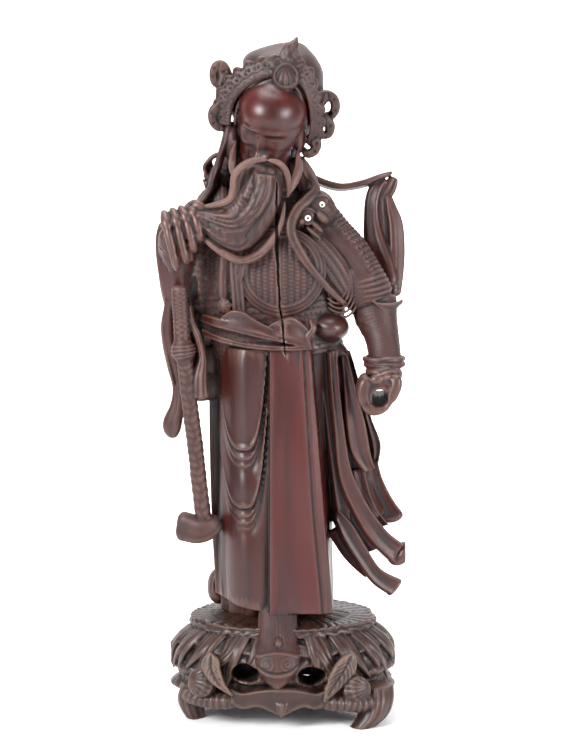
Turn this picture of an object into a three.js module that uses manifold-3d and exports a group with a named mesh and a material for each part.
// A carved hardwood figurine: a bearded warrior in armour and a long robe, stroking the beard with one
// hand, on a carved openwork base of leaves. Everything is in millimetres, +Z is up, -Y is the front
// and +X is to the right as one faces the figure. Places are measured from the floor under the base;
// the last lines move the whole work so that the origin is under the middle of it.

import * as THREE from "three";
import Module from "manifold-3d";
import { mergeVertices } from "three/addons/utils/BufferGeometryUtils.js";

const wasm = await Module();
wasm.setup();

// Driving dimensions.
const HEM = 81; // underside of the robe's front
const HEM_RISE = 0.21; // slope of the hem at the left, beyond the knee
const WAIST = 276; // top of the robe, under the belt
const NECK = 396;
const LEDGE = 73; // top of the base
const BASE_HALF_WIDTH = 84;
const BASE_HALF_DEPTH = 62;
const UNDERSIDE = 14; // height of the base's rim over the floor
const EYE_RADIUS = 2.3; // inlaid eyes of the shoulder mask
const GAP = 0.3; // left between an inlaid eye and its socket, and between the boots and the base
const FIGURE_FACETS = 6650;
const BASE_FACETS = 1650;

const { sin, cos, PI, abs, sqrt, min, max, sign, floor } = Math;

// A smooth value at t, from 0 to 1, through evenly spaced numbers or points.
function along(values, t) {
  const last = values.length - 1;
  const place = min(max(t, 0), 1) * last;
  const i = min(floor(place), last - 1);
  const f = place - i;
  const near = [i - 1, i, i + 1, i + 2].map((k) => values[min(max(k, 0), last)]);
  const blend = (a, b, c, d) =>
    b + 0.5 * f * (c - a + f * (2 * a - 5 * b + 4 * c - d + f * (3 * (b - c) + d - a)));
  return Array.isArray(values[0]) ? near[0].map((_, k) => blend(...near.map((p) => p[k]))) : blend(...near);
}

// A closed mesh with shared corners as a solid.
function solid(positions, triangles) {
  const mesh = { numProp: 3, vertProperties: new Float32Array(positions),
    triVerts: new Uint32Array(triangles) };
  const made = new wasm.Manifold(new wasm.Mesh(mesh));
  if (made.volume() >= 0) return made;
  for (let i = 0; i < triangles.length; i += 3) {
    [mesh.triVerts[i + 1], mesh.triVerts[i + 2]] = [mesh.triVerts[i + 2], mesh.triVerts[i + 1]];
  }
  return new wasm.Manifold(new wasm.Mesh(mesh));
}

// A three.js geometry, turned and moved by a matrix, as a solid.
function solidOf(geometry, matrix = new THREE.Matrix4()) {
  geometry.deleteAttribute("normal");
  geometry.deleteAttribute("uv");
  const merged = mergeVertices(geometry.applyMatrix4(matrix), 1e-4);
  return solid(merged.attributes.position.array, merged.index.array);
}

// A carved form swept along a smooth path. Its section is an ellipse, or squarer with a power under 1,
// that is wide across and deep towards the given face, and level sections lie flat at every height. Its
// ends are rounded over the share cap, and relief adds millimetres to the radius at an angle and a place.
function sweep({
  path, wide, deep = wide, face = [0, -1, 0], flat = false, rings = 8, sides = 8, power = 1, cap = 0.2, relief,
}) {
  const up = new THREE.Vector3(0, 0, 1);
  const level = (v, t) => (Array.isArray(v) ? along(v, t) : v);
  const at = (t) => new THREE.Vector3(...along(path, t));
  const round = (x) => sign(x) * abs(x) ** power;
  const positions = [];
  for (let i = cap ? 1 : 0; i <= rings - (cap ? 1 : 0); i++) {
    const even = i / rings;
    const t = cap ? (even + (1 - cos(PI * even)) / 2) / 2 : even;
    const tangent = flat ? up : at(min(t + 0.02, 1)).sub(at(max(t - 0.02, 0))).normalize();
    const facing = new THREE.Vector3(...(Array.isArray(face[0]) ? along(face, t) : face));
    const across = new THREE.Vector3().crossVectors(tangent, facing).normalize();
    const front = new THREE.Vector3().crossVectors(across, tangent);
    const edge = cap ? min(t, 1 - t) / cap : 1;
    const size = edge < 1 ? sqrt(max(1 - (1 - edge) ** 2, 0)) : 1;
    for (let j = 0; j < sides; j++) {
      const a = (2 * PI * j) / sides;
      const more = relief ? relief(a, t) : 0;
      const x = round(cos(a)) * level(wide, t) * size + cos(a) * more;
      const y = round(sin(a)) * level(deep, t) * size + sin(a) * more;
      const p = at(t).addScaledVector(across, x).addScaledVector(front, y);
      positions.push(p.x, p.y, p.z);
    }
  }
  const loops = positions.length / 3 / sides;
  const triangles = [];
  for (let i = 0; i + 1 < loops; i++) {
    for (let j = 0; j < sides; j++) {
      const [a, b] = [i * sides + j, i * sides + ((j + 1) % sides)];
      triangles.push(a, b, b + sides, a, b + sides, a + sides);
    }
  }
  const poles = [loops * sides, loops * sides + 1];
  positions.push(...at(0).toArray(), ...at(1).toArray());
  for (let j = 0; j < sides; j++) {
    const next = (j + 1) % sides;
    triangles.push(poles[0], next, j);
    triangles.push(poles[1], (loops - 1) * sides + j, (loops - 1) * sides + next);
  }
  return solid(positions, triangles);
}

// An egg-shaped form with given half sizes.
function egg([x, y, z], [wide, deep, high], turn = [0, 0, 0], detail = [10, 6]) {
  const matrix = new THREE.Matrix4().compose(
    new THREE.Vector3(x, y, z),
    new THREE.Quaternion().setFromEuler(new THREE.Euler(...turn)),
    new THREE.Vector3(wide, deep, high),
  );
  return solidOf(new THREE.SphereGeometry(1, ...detail), matrix);
}

// A turned form about an axis that points along a direction, squeezed to an oval by the two scales.
function turned(profile, centre, axis, scales = [1, 1], sides = 16) {
  const lathe = new THREE.LatheGeometry(profile.map(([r, h]) => new THREE.Vector2(r, h)), sides);
  const matrix = new THREE.Matrix4().compose(
    new THREE.Vector3(...centre),
    new THREE.Quaternion().setFromUnitVectors(new THREE.Vector3(0, 1, 0),
      new THREE.Vector3(...axis).normalize()),
    new THREE.Vector3(scales[0], 1, scales[1]),
  );
  return solidOf(lathe, matrix);
}

// A low band round a limb at a point of its path.
function band(path, t, wide, deep, length) {
  const [a, b] = [along(path, t), along(path, min(t + 0.05, 1))].map((p) => new THREE.Vector3(...p));
  const step = b.clone().sub(a).normalize().multiplyScalar(length / 2);
  const ends = [a.clone().sub(step).toArray(), a.clone().add(step).toArray()];
  return sweep({ path: ends, wide: [wide * 0.93, wide, wide * 0.93], deep: [deep * 0.93, deep, deep * 0.93],
    rings: 2, sides: 12, cap: 0 });
}

const joined = (list) => list.reduce((whole, piece) => whole.add(piece));

// A solid with all its corners moved by a matrix.
function moved(piece, matrix) {
  const { vertProperties, triVerts } = piece.getMesh();
  return solid(new THREE.BufferAttribute(vertProperties, 3).applyMatrix4(matrix).array, triVerts);
}

// The largest shell of a solid, as its corners and facets: small closed pockets inside it are filled.
function outerShell(piece) {
  const { vertProperties, triVerts } = piece.getMesh();
  const points = [];
  for (let i = 0; i < vertProperties.length; i += 3) points.push([...vertProperties.slice(i, i + 3)]);
  const root = points.map((_, i) => i);
  const find = (i) => {
    while (root[i] !== i) i = root[i] = root[root[i]];
    return i;
  };
  const facets = [];
  for (let i = 0; i < triVerts.length; i += 3) {
    const facet = [...triVerts.slice(i, i + 3)];
    facets.push(facet);
    root[find(facet[1])] = find(facet[0]);
    root[find(facet[2])] = find(facet[0]);
  }
  const counts = {};
  for (const facet of facets) counts[find(facet[0])] = (counts[find(facet[0])] ?? 0) + 1;
  const largest = Number(Object.keys(counts).sort((a, b) => counts[b] - counts[a])[0]);
  return { points, facets: facets.filter((facet) => find(facet[0]) === largest) };
}

// Thins a solid to a number of facets. Pairs of neighbouring corners are merged, those first that move
// the surface least (the sum of squared distances to the planes of the facets about them), and a merge
// is left out where it would tear the surface or turn a facet over. Places with more care keep more.
function thinned(piece, count, care = () => 1) {
  const { points, facets } = outerShell(piece);
  const about = points.map(() => new Set());
  facets.forEach((facet, f) => facet.forEach((v) => about[v].add(f)));
  const normal = ([a, b, c]) => {
    const [u, v] = [b.map((x, k) => x - a[k]), c.map((x, k) => x - a[k])];
    return [u[1] * v[2] - u[2] * v[1], u[2] * v[0] - u[0] * v[2], u[0] * v[1] - u[1] * v[0]];
  };
  const dot = (u, v) => u[0] * v[0] + u[1] * v[1] + u[2] * v[2];
  const planes = points.map(() => new Float64Array(10));
  for (const facet of facets) {
    const corners = facet.map((v) => points[v]);
    const n = normal(corners);
    const size = sqrt(dot(n, n)) || 1e-9;
    const [a, b, c] = n.map((x) => x / size);
    const d = -dot([a, b, c], corners[0]);
    const terms = [a * a, a * b, a * c, a * d, b * b, b * c, b * d, c * c, c * d, d * d];
    for (const v of facet) terms.forEach((x, k) => (planes[v][k] += (x * size * care(points[v])) / 6));
  }
  const error = (q, [x, y, z]) =>
    q[0] * x * x + 2 * q[1] * x * y + 2 * q[2] * x * z + 2 * q[3] * x + q[4] * y * y +
    2 * q[5] * y * z + 2 * q[6] * y + q[7] * z * z + 2 * q[8] * z + q[9];
  const neighbours = (v) => new Set([...about[v]].flatMap((f) => facets[f]).filter((w) => w !== v));
  const age = points.map(() => 0);
  const queue = [];
  const push = (item) => {
    let i = queue.push(item) - 1;
    while (i && queue[(i - 1) >> 1].cost > item.cost) {
      queue[i] = queue[(i - 1) >> 1];
      i = (i - 1) >> 1;
    }
    queue[i] = item;
  };
  const pop = () => {
    const [first, last] = [queue[0], queue.pop()];
    if (!queue.length) return first;
    let i = 0;
    for (;;) {
      let k = 2 * i + 1;
      if (k + 1 < queue.length && queue[k + 1].cost < queue[k].cost) k++;
      if (k >= queue.length || queue[k].cost >= last.cost) break;
      queue[i] = queue[k];
      i = k;
    }
    queue[i] = last;
    return first;
  };
  const offer = (a, b) => {
    const both = planes[a].map((x, k) => x + planes[b][k]);
    const middle = points[a].map((x, k) => (x + points[b][k]) / 2);
    const choices = [points[a], points[b], middle].map((p) => [error(both, p), p]);
    const [cost, place] = choices.sort((p, q) => p[0] - q[0])[0];
    const length = middle.reduce((sum, x, k) => sum + (x - points[a][k]) ** 2, 0);
    push({ cost: cost + 1e-4 * length, place, a, b, ages: age[a] + age[b] });
  };
  const turnsOver = (v, other, place) =>
    [...about[v]].some((f) => {
      if (facets[f].includes(other)) return false;
      const now = normal(facets[f].map((w) => points[w]));
      const then = normal(facets[f].map((w) => (w === v ? place : points[w])));
      return dot(now, then) < 0.3 * sqrt(dot(now, now) * dot(then, then)) || dot(then, then) < 1e-4;
    });
  points.forEach((_, v) => about[v].size && neighbours(v).forEach((w) => v < w && offer(v, w)));
  let left = facets.length;
  while (left > count && queue.length > 1) {
    const { place, a, b, ages } = pop();
    if (!about[a].size || !about[b].size || ages !== age[a] + age[b]) continue;
    const shared = [...neighbours(a)].filter((v) => neighbours(b).has(v));
    if (shared.length !== 2 || turnsOver(a, b, place) || turnsOver(b, a, place)) continue;
    for (const f of [...about[b]]) {
      if (facets[f].includes(a)) {
        facets[f].forEach((v) => about[v].delete(f));
        facets[f] = null;
        left--;
      } else {
        facets[f] = facets[f].map((v) => (v === b ? a : v));
        about[a].add(f);
      }
    }
    about[b].clear();
    points[a] = place;
    planes[b].forEach((x, k) => (planes[a][k] += x));
    age[a]++;
    for (const v of neighbours(a)) offer(a, v);
  }
  const used = [];
  const number = new Map();
  const indices = facets.filter(Boolean).flat().map((v) => {
    if (!number.has(v)) number.set(v, used.push(...points[v]) / 3 - 1);
    return number.get(v);
  });
  return solid(used, indices);
}

// THE ROBE

const SKIRT_PATH = [[-6, 1, HEM], [-7, 0, 145], [-6, -1, 210], [-4, 0, WAIST + 4]];

// The skirt has shallow pleats all round, deeper at the back and towards the hem.
function skirt() {
  const pleats = (a, t) => (sin(a) < 0.25 ? 2.4 : 0.5) * cos(11 * a) * (1 - 0.75 * t);
  return sweep({ path: SKIRT_PATH, wide: [44, 44, 44, 48], deep: [39, 37, 36, 38], rings: 8, sides: 44,
    power: 0.78, cap: 0, relief: pleats });
}

// The flat apron hangs in front, with a narrower panel beside it.
function apron() {
  const cloth = { rings: 4, sides: 16, power: 0.35, cap: 0, deep: [7, 7, 7, 8] };
  return joined([
    sweep({ ...cloth, path: [[9, -36, HEM - 1], [6, -36, 145], [4, -36, 210], [3, -37, WAIST]],
      wide: [19, 16, 13, 12] }),
    sweep({ ...cloth, path: [[28, -30, HEM], [23, -30, 145], [17, -31, 210], [14, -32, WAIST]],
      wide: [10, 10, 9, 9] }),
  ]);
}

// The robe is drawn up over the thigh in two swags, each a smooth bulge of cloth over rolled edges.
function swags() {
  const parts = [];
  for (const [bottom, top, roll] of [[201, 262, 3.2], [210, 264, 2.6], [157, 222, 3.2], [166, 226, 2.6]]) {
    const reach = top - bottom;
    const path = [[-50, -16, top], [-49, -25, bottom + 0.45 * reach], [-44, -34, bottom + 0.12 * reach],
      [-32, -39.5, bottom], [-20, -40, bottom + 0.14 * reach], [-13, -39.5, bottom + 0.5 * reach],
      [-11, -38, top]];
    parts.push(sweep({ path, wide: roll, deep: roll + 1, rings: 14, sides: 8, cap: 0.08 }));
  }
  parts.push(sweep({ path: [[-31, -28, 203], [-32, -29, 232], [-31, -28, 268]], wide: [9, 17, 17],
    deep: [9, 14, 12], rings: 7, sides: 14 }));
  parts.push(sweep({ path: [[-30, -30, 162], [-31, -29, 180], [-32, -27, 202]], wide: [9, 15, 15],
    deep: [6, 10, 8], rings: 6, sides: 12 }));
  parts.push(sweep({ path: [[-30, -30, HEM], [-30, -31, 115], [-30, -30, 156]], wide: [15, 14, 9],
    deep: [8, 8, 5], rings: 5, sides: 12, cap: 0 }));
  return joined(parts);
}

// The hem rises at the left, where the knee lifts the robe.
function hemCut() {
  const box = new THREE.BoxGeometry(80, 36, 40).translate(-40, 0, -20);
  box.rotateY(Math.atan(HEM_RISE));
  return solidOf(box.translate(-12, -36, HEM));
}

// Folds stream from the waist to the right and end in fluttering tails.
function streamingFolds() {
  const fold = (path, wide, deep, more = {}) => sweep({ path, wide, deep, face: [0.4, -1, 0], rings: 10,
    sides: 10, cap: 0.1, ...more });
  return joined([
    fold([[32, -8, 278], [41, -8, 252], [49, -8, 228], [55, -7, 202], [62, -6, 176], [72, -4, 156],
      [80, -3, 148]], [12, 12, 11, 9, 7, 7, 4], [20, 17, 13, 10, 7, 5, 4], { rings: 12 }),
    fold([[56, -6, 226], [61, -5, 208], [64, -5, 199], [63, -6, 188]], [5, 6, 5, 4], [5, 5, 4, 3]),
    fold([[39, -18, 268], [45, -20, 246], [49, -22, 222], [53, -23, 204], [60, -22, 188]], [5, 7, 8, 7, 3],
      [6, 7, 7, 6, 4]),
    fold([[33, -16, 274], [39, -22, 236], [46, -23, 202], [54, -23, 172], [64, -22, 150], [76, -20, 134],
      [82, -17, 124]], [6, 7, 8, 9, 9, 8, 4], [10, 10, 9, 8, 7, 6, 4], { rings: 12 }),
    fold([[28, -24, 262], [34, -26, 224], [38, -27, 184], [44, -27, 156], [56, -26, 137], [71, -24, 127],
      [82, -21, 117]], [5, 6, 7, 8, 9, 9, 5], [10, 10, 9, 8, 7, 7, 5], { rings: 13 }),
    fold([[32, -20, 158], [42, -20, 148], [50, -20, 134], [60, -20, 117], [71, -20, 105], [81, -18, 95]],
      [6, 7, 7, 7, 7, 4], [9, 8, 7, 6, 6, 4]),
    fold([[56, -18, 134], [68, -19, 120], [78, -18, 106], [84, -16, 99]], [6, 7, 6, 3], [6, 6, 5, 4]),
    fold([[33, 4, 268], [40, 2, 210], [46, -2, 160], [54, -8, 130]], [16, 16, 13, 9], [26, 22, 16, 10],
      { sides: 12 }),
    fold([[50, -12, 204], [58, -14, 172], [70, -14, 148]], [9, 11, 7], [7, 7, 5]),
  ]);
}

// The robe's train falls to the ledge behind, with a turned-up corner on the left.
function train() {
  return joined([
    sweep({ path: [[-6, 8, LEDGE + GAP], [-6, 8, 92], [-6, 8, 120]], wide: [40, 40, 37], deep: [29, 28, 22],
      rings: 4, sides: 36, power: 0.8, cap: 0,
      relief: (a) => 1.8 * cos(13 * a) }),
    sweep({ path: [[-44, 10, LEDGE + 9], [-49, 11, 84], [-51, 12, 92], [-46, 12, 100]],
      wide: [8, 7.5, 6, 3.5], deep: [10, 10, 9, 6], rings: 7, sides: 10 }),
  ]);
}

// THE TORSO

function torso() {
  const path = [[-3, 0, 268], [-7, 0, 300], [-10, 0, 340], [-12, 1, 372], [-15, 2, 400]];
  return joined([
    sweep({ path, wide: [47, 53, 50, 40, 14], deep: [38, 37, 36, 28, 14], rings: 10, sides: 26, power: 0.85,
      cap: 0 }),
    sweep({ path: [[-58, 0, 352], [-60, -2, 322], [-57, 0, 288]], wide: [12, 13, 9], deep: [16, 17, 14],
      rings: 6, sides: 10 }),
  ]);
}

// A round armour plate with a raised rim, facing outwards.
function roundel(centre, axis, radius) {
  const profile = [[0, -6], [radius + 3, -6], [radius + 3, 0.6], [radius + 1.5, 2], [radius, 0.6],
    [radius - 1.5, 0.8], [radius * 0.6, 2.4], [0, 3.2]];
  return turned(profile, centre, axis, [1, 1], 24);
}

// The belt, the rolled cloth over it and the full cloth at the hips.
function sash() {
  const hoop = (z, wide, deep, radius) =>
    solidOf(new THREE.TorusGeometry(1, radius / wide, 6, 32), new THREE.Matrix4().compose(
      new THREE.Vector3(-3, 0, z), new THREE.Quaternion().setFromEuler(new THREE.Euler(0.05, 0, 0)),
        new THREE.Vector3(wide, deep, wide)));
  const roll = (path, wide, deep) => sweep({ path, wide, deep, rings: 8, sides: 10, cap: 0.25 });
  return joined([
    hoop(277, 46, 38, 4.6),
    hoop(285, 46, 38.5, 4.2),
    roll([[-54, -16, 284], [-46, -33, 293], [-34, -42, 300], [-20, -45, 297], [-8, -46, 288]],
      [4, 6, 8, 7, 3], [4, 6, 6, 5, 3]),
    roll([[-14, -45, 287], [-3, -46, 297], [10, -44, 296], [22, -38, 284]], [3, 6, 7, 4], [3, 5, 6, 5]),
    roll([[18, -39, 302], [22, -41, 290], [21, -40, 276]], [3, 4, 3], [4, 4, 4]),
    egg([30, -12, 290], [18, 26, 12], [0, 0.15, 0.3], [14, 8]),
    egg([-30, 24, 290], [26, 20, 10], [0, 0, 0], [14, 8]),
    egg([18, 24, 290], [28, 20, 11], [0, 0, 0], [14, 8]),
  ]);
}

// A knotted tie with two hanging ends closes the belt at the back.
function backTie() {
  const end = (dx, low) => sweep({ path: [[2 + dx * 0.3, 42, 286], [2 + dx, 44, 262],
    [2 + dx * 1.4, 40, low]], wide: [5, 6, 8], deep: [4, 4, 4], rings: 6, sides: 8 });
  return joined([egg([2, 41, 287], [9, 8, 9], [0, 0, 0], [10, 8]), end(-11, 206), end(10, 192)]);
}

// THE ARMS

const UPPER_ARM = [[11, 4, 376], [23, 2, 363], [34, -1, 350], [44, -5, 339], [54, -8, 325], [62, -11, 313],
  [67, -12, 304]];
const FOREARM = [[66, -10, 312], [68, -14, 298], [72, -20, 284], [74, -28, 271], [74, -36, 261]];

// The arm at the right hangs down in armour: a scaled sleeve, an oval panel, ribbed bands at the elbow
// and a quilted forearm. A strap runs over it from the neck.
function loweredArm() {
  const strap = [[12, -8, 414], [16, -12, 402], [20, -22, 391], [14, -31, 383], [9, -36, 375],
    [6, -40, 362], [11, -40, 348], [22, -37, 334], [35, -33, 319], [45, -26, 307]];
  const parts = [
    sweep({ path: UPPER_ARM, wide: [19, 20, 20, 20, 19, 18, 15], deep: [20, 22, 22, 21, 20, 18, 15],
      rings: 10, sides: 16, cap: 0.12 }),
    sweep({ path: FOREARM, wide: [18, 16.5, 13, 12, 12.5], deep: [16, 15, 13, 11.5, 10], rings: 8,
      sides: 14, cap: 0.08 }),
    sweep({ path: [[18, -27, 357], [28, -29, 342], [39, -26, 326], [48, -21, 311]], wide: [7, 12, 12, 7],
      deep: [6, 7, 7, 6], rings: 8, sides: 12 }),
    sweep({ path: strap, wide: [3, 4, 5, 5, 5, 4, 4, 4, 4, 3], deep: 4.5, rings: 18, sides: 8, cap: 0.05 }),
    band(FOREARM, 0.97, 14, 11.5, 5),
    band(FOREARM, 0.12, 18.5, 17, 7),
  ];
  for (const [t, grow] of [[0.68, 0.6], [0.77, 1], [0.86, 1.2]]) parts.push(band(UPPER_ARM, t, 19.5 + grow,
    20 + grow, 4));
  return joined(parts);
}

// A fist closed round a pole that is missing: four fingers, side by side, about an open grip.
function openFist() {
  const parts = [];
  for (let k = 0; k < 4; k++) {
    const y = -35.5 - 7 * k;
    const out = k === 0 || k === 3 ? 0 : 0.6;
    const path = [[61, y, 258], [57.5 - out, y, 248], [58.5, y, 239], [64, y, 233 - out],
      [71, y, 235 - out], [78 + out, y, 243.5], [82, y, 252], [80, y + 2, 259]];
    parts.push(sweep({ path, wide: 4.6, deep: 4.2, rings: 12, sides: 8, cap: 0.1 }));
  }
  parts.push(sweep({ path: [[83, -38, 258], [78, -50, 258], [70, -56, 257], [62, -57, 255]],
    wide: [6, 5, 4.6, 3.6], deep: [6, 5, 4.6, 3.6], face: [0, 0, 1], rings: 7, sides: 8 }));
  parts.push(egg([72, -40, 260], [13, 12, 5.5], [0, 0, 0], [12, 8]));
  return joined(parts);
}

// The other arm is raised, its hand closed on the beard.
function raisedArm() {
  const parts = [
    sweep({ path: [[-36, 4, 384], [-49, 4, 377], [-57, 3, 362], [-64, 0, 346], [-70, -4, 334]],
      wide: [14, 15, 14, 14, 12], deep: [20, 20, 18, 16, 14], rings: 9, sides: 14, cap: 0.12 }),
    sweep({ path: [[-72, -4, 330], [-77, -12, 340], [-80, -24, 352], [-78, -33, 362]],
      wide: [14, 13, 11, 10], deep: [14, 13, 11, 10], face: [0, -1, 1], rings: 6, sides: 12 }),
    egg([-74, -38, 367], [12, 9, 10], [0, 0.3, 0], [12, 8]),
  ];
  const tips = [[-75.5, 348], [-69.8, 353], [-64.6, 357], [-60.2, 361.5]];
  tips.forEach(([x, z], k) => {
    const [top, middle] = [-86 + 6.6 * k, -83.5 + 6.6 * k];
    const path = [[top, -34 - k, 375], [middle, -45, 370 - k * 0.3],
      [(middle + x) / 2, -50, (372 + z) / 2 - 2], [x, -48, z + 3], [x + 1, -41, z]];
    parts.push(sweep({ path, wide: 3.7, deep: 4.4, face: [-0.3, -1, 0.3], rings: 8, sides: 8 }));
  });
  parts.push(sweep({ path: [[-68, -34, 376], [-62, -42, 380], [-56, -45, 377]], wide: [5, 4.5, 3], rings: 5,
    sides: 8 }));
  return joined(parts);
}

// The wide sleeve of the raised arm hangs open about a dark mouth, and a strip of it falls to a
// leaf-shaped end.
function hangingSleeve() {
  const fold = (path, wide, deep, more = {}) => sweep({ path, wide, deep, face: [-0.5, -1, 0], rings: 9,
    sides: 8, ...more });
  const bag = sweep({ path: [[-77, -12, 354], [-78, -8, 330], [-76, -6, 308], [-70, -8, 292]],
    wide: [13, 14, 12, 10], deep: [14, 15, 13, 9], rings: 8, sides: 16 });
  const mouth = sweep({ path: [[-73, -27, 345], [-74, -25, 324], [-72, -21, 308]], wide: [6, 8, 5],
    deep: [9, 11, 8], rings: 5, sides: 10 });
  return joined([
    bag.subtract(mouth),
    fold([[-86, -20, 367], [-89, -17, 357], [-90, -14, 344], [-88, -12, 328], [-84, -10, 312]],
      [3.5, 4.5, 4.5, 4.5, 4], [4, 5, 5, 5, 5]),
    fold([[-83, -26, 361], [-85, -26, 351], [-83, -24, 340], [-79, -20, 329]], [3, 4, 4, 2.5],
      [4, 4, 4, 3]),
    fold([[-81, -9, 316], [-82, -10, 304], [-84, -10, 290], [-83, -10, 276], [-80, -10, 260],
      [-77, -11, 244], [-78, -12, 230], [-82, -12, 216], [-81, -12, 206]],
      [6, 5, 6, 6, 6, 5, 6, 8, 6], [7, 7, 6, 6, 5, 4, 4, 4, 3], { rings: 15, cap: 0.08 }),
    fold([[-76, -6, 300], [-72, -8, 276], [-70, -9, 250], [-71, -10, 226]], [8, 7, 6, 4], [7, 6, 5, 4]),
  ]);
}

// THE SWORD AT THE HIP

const SWORD_PATH = [[-75, -29, 322], [-74.5, -29, 309], [-73.8, -29, 296], [-72.8, -30, 277],
  [-70.7, -30, 259.5], [-67.7, -29, 231], [-64.3, -28, 203], [-61.5, -27, 174], [-58, -26, 144]];

function sword() {
  const collar = band(SWORD_PATH, 0.4, 8.4, 8.4, 9);
  const shaft = sweep({ path: SWORD_PATH, wide: [7, 6.2, 6, 6, 6.4, 6.6, 6.6, 6.4, 6.2],
    deep: [7, 6.2, 6, 6, 6.4, 6.6, 6.6, 6.4, 6.2], rings: 14, sides: 12, cap: 0.04 });
  const chape = sweep({ path: [[-79, -25, 143], [-72, -25, 142], [-63, -26, 140], [-55, -24, 142],
    [-49, -18, 147]], wide: [12, 11.5, 10.5, 9, 6], deep: [4, 6, 8, 9, 8], rings: 8, sides: 12,
    power: 0.6 });
  const tassel = sweep({ path: [[-70, -26, 318], [-68, -26, 298], [-62, -26, 284], [-59, -26, 268],
    [-61, -28, 254], [-61, -28, 238]], wide: [3, 3.4, 3.4, 3.6, 6, 7.5], deep: [4, 4, 5, 5, 8, 7],
    rings: 11, sides: 10, cap: 0.05 });
  const stay = (z, x) => sweep({ path: [[-71, -22, z], [-62, -14, z + 1], [x, -12, z + 2]],
    wide: [9, 13, 12], deep: [8, 8, 8], rings: 4, sides: 8 });
  return joined([shaft, collar, chape, tassel, stay(286, -52), stay(262, -48), stay(246, -46)]);
}

// THE HEAD

const HEAD_MATRIX = new THREE.Matrix4().compose(
  new THREE.Vector3(-8, -20, 437),
  new THREE.Quaternion().setFromEuler(new THREE.Euler(0.42, 0.28, -0.22, "ZYX")),
  new THREE.Vector3(1, 1, 1),
);

// The head in its own upright frame, with the face towards -Y, is then tilted into place.
function head() {
  const features = [
    egg([-1, 2, 4], [24, 28, 31], [0, 0, 0], [20, 14]),
    egg([0, -6, -18], [18.5, 19, 24], [0, 0, 0], [14, 10]),
    egg([-11, -17, -12], [8, 8, 9], [0, 0, 0], [10, 8]),
    egg([11, -17, -12], [8, 8, 9], [0, 0, 0], [10, 8]),
    egg([-10, -22, 2], [9, 5, 3.4], [0, 0.1, 0]),
    egg([10, -22, 2], [9, 5, 3.4], [0, -0.1, 0]),
    egg([-9.5, -21, -5], [5.6, 4, 3.2]),
    egg([9.5, -21, -5], [5.6, 4, 3.2]),
    sweep({ path: [[0, -24, 2], [0, -28, -6], [0, -32, -15], [0, -24, -18]], wide: [2.6, 2.8, 4.8, 4.6],
      deep: [4, 4, 5, 4], rings: 7, sides: 8 }),
    egg([0, -24, -24], [7, 4, 3]),
    egg([-24, 2, -6], [4, 6, 11], [0, 0.1, 0]),
    egg([22, 2, -6], [4, 6, 11], [0, -0.1, 0]),
  ];
  const neck = sweep({ path: [[-16, 2, 388], [-15, -2, 404], [-12, -8, 426]], wide: 18, deep: 18, rings: 3,
    sides: 14, cap: 0 });
  return joined([moved(joined(features), HEAD_MATRIX), neck,
    egg([-20, 12, 408], [29, 17, 24], [0, 0, 0], [14, 10])]);
}

// A neck cloth falls from the cap to the shoulders.
function neckCloth() {
  const path = [[-4, 14, 456], [-9, 19, 434], [-16, 22, 413], [-16, 24, 396], [-14, 24, 374]];
  return sweep({ path, wide: [31, 29, 26, 30, 38], deep: [27, 22, 17, 15, 13], rings: 8, sides: 22,
    power: 0.85, cap: 0,
    relief: (a, t) => 1.4 * cos(12 * a) * t });
}

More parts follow.
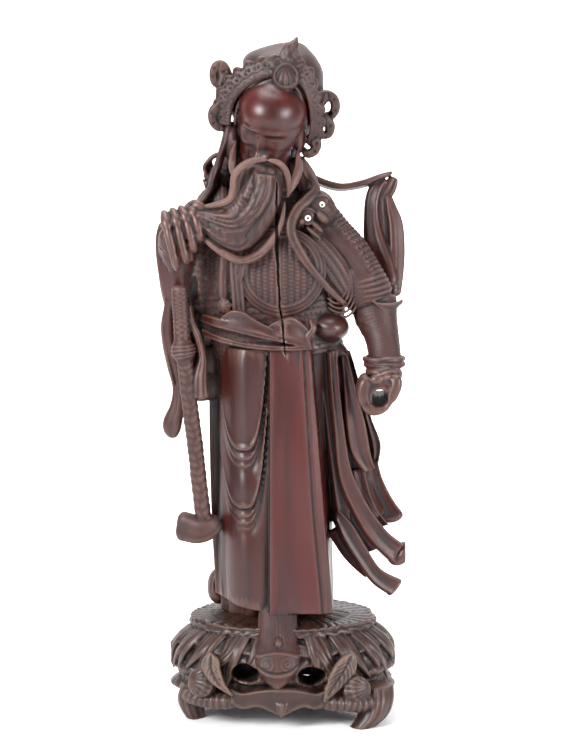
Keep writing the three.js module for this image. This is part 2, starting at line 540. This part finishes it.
// A tall cap with a scalloped plate arching over the brow, scrolled wings, a fan and a flame-shaped crest.
function helmet() {
  const count = 27;
  const arch = [[-42, -19, 437], [-41.7, -22, 454.5], [-33.2, -26, 465], [-22.4, -30, 473.5],
    [-9.3, -33, 478], [6.2, -34, 477.6], [16.3, -32, 470], [21, -28, 457], [24, -24, 444],
    [23.7, -19, 430.5], [20, -14, 420]];
  const breadth = [6, 8, 8, 6.5, 6, 6, 5.6, 5.2, 7, 7.5, 4.5];
  const lobes = Array.from({ length: count }, (_, k) => along(breadth, k / (count - 1)) + 1.6 * (k % 2));
  const scroll = (path, wide, deep, more = {}) =>
    sweep({ path, wide, deep, rings: 10, sides: 10, ...more });
  const crown = [[-3, 4, 436], [-2, 6, 456], [0, 8, 474], [-2, 9, 484], [-1, 10, 490], [4, 11, 494.7],
    [7, 11, 496.6]];
  return joined([
    sweep({ path: crown, flat: true, wide: [32, 32, 29.5, 27, 21, 11, 3], deep: [30, 31, 29, 26, 20, 11, 3],
      rings: 12, sides: 20, power: 0.85, cap: 0 }),
    sweep({ path: arch, wide: lobes, deep: 3.6, rings: 40, sides: 8, power: 0.6, cap: 0.03,
      face: [0, -1, 0.1] }),
    scroll([[-37, -13, 454], [-39, -12, 466], [-40.5, -11, 475], [-43.5, -11, 481], [-47.4, -11, 480.5],
      [-49, -11, 475.5], [-47.6, -11, 472]], [7, 7.5, 6.6, 5, 3.8, 3.4, 2.4], [10, 11, 12, 12, 11, 9, 6],
      { rings: 12 }),
    scroll([[-40, -12, 446], [-47, -11, 446], [-49.6, -10, 441.5], [-48.6, -10, 437], [-44, -11, 435],
      [-37, -13, 437]], [5, 4.4, 4, 4, 4.4, 4], [10, 10, 10, 10, 10, 9]),
    scroll([[22, -10, 448], [27, -8, 455], [32, -7, 456.6], [36, -7, 454], [36.6, -7, 448.5],
      [34, -7, 443.5], [29, -8, 441]], [6, 5.4, 4.6, 4.4, 4.2, 4, 3], [10, 10, 11, 11, 10, 9, 6],
      { rings: 12 }),
    scroll([[19, -12, 426], [22.5, -10, 421], [21, -9, 417], [16.5, -9, 417], [14.5, -10, 420]],
      [4, 4, 4, 3.6, 3], [8, 8, 8, 7, 6]),
    turned([[0, -2], [8.6, -2], [8.6, 1.5], [0, 3]], [3, -37.5, 471.5], [0.05, -1, 0.25], [1, 0.85], 16),
    sweep({ path: [[5, -31, 472], [4.6, -31, 480], [5.4, -32, 488], [8.4, -31, 494], [10.3, -28, 500]],
      wide: [9, 9, 7, 3.4, 0.8], deep: [5, 5, 4, 2.4, 0.8], rings: 9, sides: 10, cap: 0.05 }),
  ]);
}

// THE BEARD AND HAIR

// Locks run from the face and gather in the raised hand.
function beard() {
  const lock = (path, wide, deep = wide, rings = 10) => sweep({ path, wide, deep, rings, sides: 9,
    cap: 0.12 });
  return joined([
    lock([[1, -36, 396], [-4, -43, 380], [-11, -48, 366], [-17.4, -51, 358], [-26, -53, 351],
      [-35, -53, 350], [-46, -51, 353], [-53, -48, 360], [-61, -44, 372]],
      [3, 4, 4.6, 4.6, 4.6, 4.6, 4, 3.6, 3], 5, 16),
    lock([[-14, -50, 400], [-12, -54, 386], [-13.5, -55, 377], [-18.6, -56, 367], [-27.5, -56, 361],
      [-39, -54, 360.5], [-49, -50, 365], [-60, -46, 373]], [6, 6.5, 7, 7, 6, 5.4, 4.6, 3], 6, 14),
    lock([[-22, -54, 402], [-22, -56, 386], [-26, -57, 376], [-32.5, -57, 369], [-41.4, -55, 367],
      [-52, -50, 370], [-61, -46, 375]], [7, 6.5, 6, 5.4, 4.6, 4, 3], 6, 13),
    lock([[-30, -52, 403], [-29, -56, 385], [-34, -57, 376], [-41, -55, 372], [-52, -50, 374],
      [-62, -46, 376]], [5, 5, 4.6, 4.2, 3.8, 3], 5, 11),
    lock([[-16, -61, 410], [-22, -61, 410], [-32, -59, 408.6], [-38, -57, 402], [-38.8, -56, 393],
      [-37.3, -56, 384.6], [-41.4, -55, 379], [-49, -52, 380], [-62, -45, 376]],
      [2.6, 3.4, 3.6, 3.4, 3.2, 3.2, 3.2, 3, 2.4], 4, 16),
    lock([[-16, -61, 409], [-9.7, -58, 406.5], [-5.3, -54, 399.6], [-4, -50, 388], [-5.3, -46, 378]],
      [2.5, 3.4, 3.2, 2.8, 2], 4, 9),
    lock([[-36, -24, 432], [-39, -29, 414], [-39, -39, 403], [-38, -48, 392]], [4, 4.6, 4, 3], 6, 8),
    lock([[8, -24, 426], [9, -30, 412], [4, -38, 400], [-2, -44, 388]], [4, 5, 4.6, 3], 5, 8),
    sweep({ path: [[-18, -40, 408], [-20, -42, 388], [-26, -42, 370]], wide: [19, 17, 13],
      deep: [13, 14, 10], rings: 6, sides: 12 }),
    sweep({ path: [[-40, -36, 372], [-56, -34, 366], [-66, -34, 366]], wide: [9, 7, 6], deep: [9, 8, 8],
      rings: 4, sides: 8 }),
  ]);
}

// A cord hangs from the cap over the shoulder at the left, and hair falls down the back.
function hair() {
  const strand = (path, wide, deep) => sweep({ path, wide, deep, rings: 9, sides: 8, cap: 0.1 });
  return joined([
    strand([[-38, -14, 438], [-42, -15, 424], [-46, -12, 411], [-49.5, -11, 400], [-52, -10, 391],
      [-57, -16, 383], [-64, -28, 376]], [4, 3.8, 3.6, 3.6, 3.6, 3.6, 3.4], [8, 8, 9, 10, 9, 7, 5]),
    egg([-37, -16, 420], [6.5, 13, 17], [0, 0, 0.1], [10, 8]),
    egg([-44, -4, 398], [9, 12, 20], [0, 0.1, 0], [10, 8]),
    strand([[-12, 24, 424], [-12, 34, 396], [-13, 37, 366], [-13, 36, 340]], [16, 15, 12, 5],
      [10, 9, 7, 4]),
    strand([[-42, 4, 404], [-46, 6, 392], [-40, 6, 380]], [10, 10, 9], [12, 12, 12]),
    strand([[6, -2, 412], [14, -2, 398], [18, 0, 386]], [8, 10, 10], [12, 14, 14]),
  ]);
}

// A scarf flies out behind the shoulders: a thin loop on the left, a taut strip and a broad drape on
// the right.
function scarf() {
  const strip = (path, wide, deep, face, more = {}) => sweep({ path, wide, deep, face, rings: 11, sides: 10,
    cap: 0.07, power: 0.8, ...more });
  return joined([
    strip([[-40, 10, 414], [-48, 9, 414.5], [-54, 9, 410], [-55.5, 10, 402], [-55.5, 10, 392],
      [-50, 8, 382]], 5, 2.4, [0, 0, 1]),
    strip([[6, 20, 408], [14.3, 21, 402], [23, 20, 396], [36, 20, 391], [47, 21, 390], [61.6, 22, 393],
      [71.6, 24, 397], [81, 28, 400]], [5, 5.5, 5.5, 5.5, 5.5, 6, 6, 5], [3.2, 3.4, 3.4, 3.4, 3, 3, 3, 2.4],
      [0, 0.3, 1], { rings: 13 }),
    strip([[76, 26, 396], [70, 24, 390], [66.5, 22, 380], [66, 20, 366], [68, 16, 350], [74, 10, 332],
      [78, 4, 316]], [3, 5, 5.4, 6, 8, 9, 8], [3, 4, 4, 4, 4.6, 5, 5], [-0.3, -1, 0], { rings: 13 }),
    strip([[83, 27, 397], [80, 26, 390], [75, 25, 380], [75.5, 23, 366], [78, 18, 346], [82, 10, 326],
      [84, 3, 310]], [3.4, 5, 5.6, 5.4, 5, 4.4, 3], [3, 3.6, 4, 4.4, 4.4, 4.6, 4], [0.2, -1, 0],
      { rings: 13 }),
    strip([[78, 24, 384], [80.5, 22, 374], [83.5, 20, 362], [84.5, 15, 344], [84, 9, 327], [83, 3, 310]],
      [2.4, 4.4, 6.6, 7, 6, 4], [3, 3.6, 4.4, 4.4, 4.4, 4], [0.5, -1, 0], { rings: 12 }),
  ]);
}

// THE SHOULDER MASK

const MASK_EYES = [[18, -35.5, 370.4], [28.2, -29.5, 379.8]];

// A beast's mask on the shoulder guard: brows, cheeks and a snout about two inlaid eyes.
function shoulderMask() {
  return joined([
    egg([24, -18, 376], [15, 14, 14], [0, 0.6, 0.3], [14, 10]),
    egg([16.5, -31, 377], [5, 4, 3], [0, 0.7, 0]),
    egg([24, -25, 386], [5, 4, 3], [0, 0.7, 0]),
    egg([28, -29.5, 371], [6, 5, 4], [0, 0.8, 0]),
    egg([24, -30, 364], [7, 4, 3], [0, 0.8, 0]),
    egg([13, -33, 368], [3, 4, 3]),
    ...MASK_EYES.map((eye) => egg([eye[0], eye[1] + 1.4, eye[2]], [4.2, 4.2, 4.2], [0, 0, 0], [12, 8])),
  ]);
}

// THE BOOT

// One boot shows under the hem. It comes down the front of the base and its cloud-shaped toe cap points
// at the floor.
function boot() {
  return joined([
    sweep({ path: [[-5, -24, 98], [-4.6, -36, 83], [-3.5, -48, 66], [-2, -57, 50]], wide: [13, 14, 17, 20],
      deep: [12, 12, 11, 8], face: [0, -0.8, 1], rings: 6, sides: 16, power: 0.8, cap: 0.08 }),
    sweep({ path: [[-4, -54, 58], [-4, -64, 50], [-3.4, -71, 41], [-3, -73, 30]], wide: [13, 17, 14, 3],
      deep: [8, 8, 6, 4], face: [0, -0.6, 1], rings: 8, sides: 14, power: 0.8, cap: 0.12 }),
  ]);
}

// THE BASE

const TIERS = [[UNDERSIDE, 25, 1, 9, 0.3], [29, 42, 1.02, 11, 1.1], [50, 61, 0.92, 10, 0.4],
  [63, LEDGE, 0.83, 9, 0.8]];

// The hill of the base: four ledges of leaf tips, each with its own lobes, on a rounded core.
function hill() {
  const parts = TIERS.map(([low, high, share, lobes, turn]) => {
    const relief = (a) => 3 * abs(cos((lobes * (a + turn)) / 2)) - 2;
    const [wide, deep, third] = [BASE_HALF_WIDTH * share, BASE_HALF_DEPTH * share, (high - low) / 3];
    return sweep({ path: [[0, 0, low], [0, 0, low + third], [0, 0, high - third], [0, 0, high]],
      wide: [wide - 5, wide, wide, wide - 5], deep: [deep - 5, deep, deep, deep - 5],
      rings: 3, sides: 48, cap: 0, relief });
  });
  const core = sweep({ path: [[0, 0, UNDERSIDE], [0, 0, 34], [0, 1, 54], [0, 2, LEDGE - 1]],
    wide: [76, 79, 72, 58], deep: [54, 57, 52, 44], rings: 4, sides: 32, cap: 0 });
  return joined([...parts, core]);
}

// Long leaves stream from under the hem over the front of the hill and curl down at their tips.
function leaves() {
  const parts = [];
  const count = 19;
  for (let k = 0; k < count; k++) {
    const a = PI * (-0.06 + (1.12 * k) / (count - 1));
    if (abs(k - (count - 1) / 2) < 1.5) continue;
    const [x, y] = [-cos(a), -sin(a)];
    const tip = 34 - 5 * (k % 2);
    const path = [[20 * x, 14 * y - 10, 73], [44 * x, 34 * y - 6, 69], [68 * x, 52 * y - 2, 58],
      [80 * x, 60 * y, 45], [82 * x, 62 * y, tip]];
    parts.push(sweep({ path, wide: [2.5, 4.5, 7.5, 8, 4.5], deep: [3, 4, 4.5, 4, 3],
      face: [x * 0.6, y * 0.6, 1], rings: 8, sides: 8 }));
  }
  return joined(parts);
}

// The front rail with its pendant, the veined leaves and the shells frame two dark windows beside the toe.
function frontRail() {
  const bar = (path, wide, deep, more = {}) => sweep({ path, wide, deep, rings: 8, sides: 10, ...more });
  return joined([
    bar([[-40, -65, 23.5], [-20, -70, 23], [-1, -72, 22.5], [14, -72, 22.5], [30, -68, 23]],
      [5, 5, 5.4, 5, 5], [5, 5, 6, 5, 5], { rings: 11 }),
    bar([[-1, -73, 24], [-1, -75, 17], [-1, -74, 11]], [9, 6, 1.6], [4.6, 4, 3]),
    bar([[-37, -66, 20], [-45, -68, 34], [-50, -64, 46], [-54, -58, 56]], [4, 7, 7.4, 3], [4, 4.6, 4.6, 3]),
    bar([[30, -69, 22], [42, -70, 35], [48, -66, 46], [52.5, -60, 56]], [4, 7, 7.4, 3], [4, 4.6, 4.6, 3]),
    bar([[-32, -62, 20], [-48, -58, 19], [-62, -50, 19], [-72, -38, 19]], [5, 6, 6, 6], [5, 6, 7, 7]),
    bar([[26, -64, 20], [42, -64, 19], [56, -60, 18], [68, -52, 18]], [5, 6, 7, 7], [5, 7, 8, 8]),
    bar([[-50, -62, 19], [-57, -63, 24], [-65, -60, 28], [-71, -55, 31]], [3, 6.5, 9, 6], [4, 4.4, 4.4, 3]),
    bar([[32, -69, 23], [43, -70, 22.5], [54, -69.5, 22], [62, -65, 21.5]], [3, 7, 11, 7],
      [4, 4.6, 4.6, 3]),
  ]);
}

// Four scrolled feet under the corners: ribbed blocks that curl in at the floor.
function feet() {
  const foot = (path, wide, deep, face) => sweep({ path, wide, deep, face, flat: true, rings: 4, sides: 10,
    cap: 0, power: 0.75 });
  return joined([
    foot([[-64, -34, 26], [-68, -36, 16], [-67, -36, 7], [-64, -35, -1]], [10, 8.5, 7, 5], [10, 10, 9, 7],
      [-1, -1, 0]),
    foot([[69, -44, 28], [69, -50, 18], [66, -54, 8], [58, -57, -1]], [12.5, 12, 11, 9.5], [11, 11, 10, 8],
      [1, -1, 0]),
    foot([[-60, 40, 26], [-65, 44, 16], [-65, 46, 7], [-61, 45, -1]], [10, 9, 8, 7], [10, 10, 9, 7],
      [-1, 1, 0]),
    foot([[60, 40, 26], [65, 44, 16], [65, 46, 7], [61, 45, -1]], [10, 9, 8, 7], [10, 10, 9, 7], [1, 1, 0]),
  ]);
}

// The base is hollow, and two windows open into it beside the toe.
const HOLLOW_HALF = [56, 40];
const HOLLOW_TOP = 46;
const WINDOWS = [[-31, 35.5], [24, 35.5]];

function hollow() {
  const [wide, deep] = HOLLOW_HALF;
  const room = sweep({ path: [[0, 2, -5], [0, 2, 20], [0, 2, 36], [0, 2, HOLLOW_TOP]],
    wide: [wide, wide, wide - 6, wide - 18], deep: [deep, deep, deep - 5, deep - 14], rings: 3, sides: 24,
    cap: 0, power: 0.8 });
  const windows = WINDOWS.map(([x, z]) => sweep({ path: [[x, -90, z - 1], [x, -66, z - 1],
    [x * 0.9, -34, z]], wide: [13.5, 12.5, 11], deep: [8.5, 7.5, 6.5], face: [0, 0, 1], rings: 3, sides: 14,
    cap: 0 }));
  return joined([room, ...windows]);
}

function base() {
  return hill().add(leaves()).subtract(hollow()).add(frontRail());
}

// The feet are cut flat where they stand.
function standing(piece) {
  const ground = solidOf(new THREE.BoxGeometry(400, 400, 40),
    new THREE.Matrix4().makeTranslation(0, 0, -20));
  return piece.add(feet()).subtract(ground);
}

// The hollow that takes the boot and the train: their form near the ledge, a gap larger all round.
function seat(figure) {
  const low = solidOf(new THREE.BoxGeometry(300, 300, 300),
    new THREE.Matrix4().makeTranslation(0, 0, LEDGE + 4 - 150));
  const near = figure.intersect(low);
  const steps = [[0, 0, 0], [0, -1, 0], [0, 0, -1], [1, 0, 0], [-1, 0, 0]];
  return joined(steps.map((step) => moved(near,
    new THREE.Matrix4().makeTranslation(...step.map((x) => x * GAP)))));
}

// THE WORK PUT TOGETHER

const sockets = MASK_EYES.map((eye) => egg(eye, Array(3).fill(EYE_RADIUS + GAP), [0, 0, 0], [8, 6]));
const carved = joined([skirt(), apron(), swags(), streamingFolds()]).subtract(hemCut());
const wholeFigure = joined([carved, train(), torso(), sash(), backTie(),
  roundel([-1, -35, 332], [0, -1, 0.06], 26),
  roundel([-45, -26, 334], [-0.62, -0.78, 0.05], 20), loweredArm(), openFist(), raisedArm(),
    hangingSleeve(), sword(),
  head(), neckCloth(), helmet(), beard(), hair(), scarf(), shoulderMask(), boot()]);
const faceCare = ([x, y, z]) => (z > NECK && y < 0 ? 3 : 1);
const figureSolid = thinned(wholeFigure, FIGURE_FACETS, faceCare).subtract(joined(sockets));
const baseSolid = standing(thinned(base(), BASE_FACETS)).subtract(seat(figureSolid));
const eyeSolids = MASK_EYES.map((eye) => egg(eye, Array(3).fill(EYE_RADIUS), [0, 0, 0], [8, 6]));

const extents = [figureSolid, baseSolid].map((piece) => piece.boundingBox());
const middle = [0, 1].map((k) => {
  const [low, high] = [min(...extents.map((box) => box.min[k])), max(...extents.map((box) => box.max[k]))];
  return (low + high) / 2;
});

function finish(name, piece, material) {
  const { points, facets } = outerShell(piece);
  const geometry = new THREE.BufferGeometry();
  geometry.setAttribute("position", new THREE.BufferAttribute(new Float32Array(points.flat()), 3));
  geometry.setIndex(facets.flat());
  geometry.computeVertexNormals();
  const mesh = new THREE.Mesh(geometry, material);
  mesh.name = name;
  mesh.position.set(-middle[0], -middle[1], 0);
  return mesh;
}

const rosewood = new THREE.MeshStandardMaterial({ color: 0x4a1c18, roughness: 0.42, metalness: 0 });
const baseWood = new THREE.MeshStandardMaterial({ color: 0x5a3029, roughness: 0.5, metalness: 0 });
const inlay = new THREE.MeshStandardMaterial({ color: 0xe8e2d6, roughness: 0.3, metalness: 0 });

const figurine = new THREE.Group();
figurine.add(finish("figure", figureSolid, rosewood));
figurine.add(finish("base", baseSolid, baseWood));
eyeSolids.forEach((eye, k) => figurine.add(finish(`mask_eye_${k + 1}`, eye, inlay)));

export default figurine;
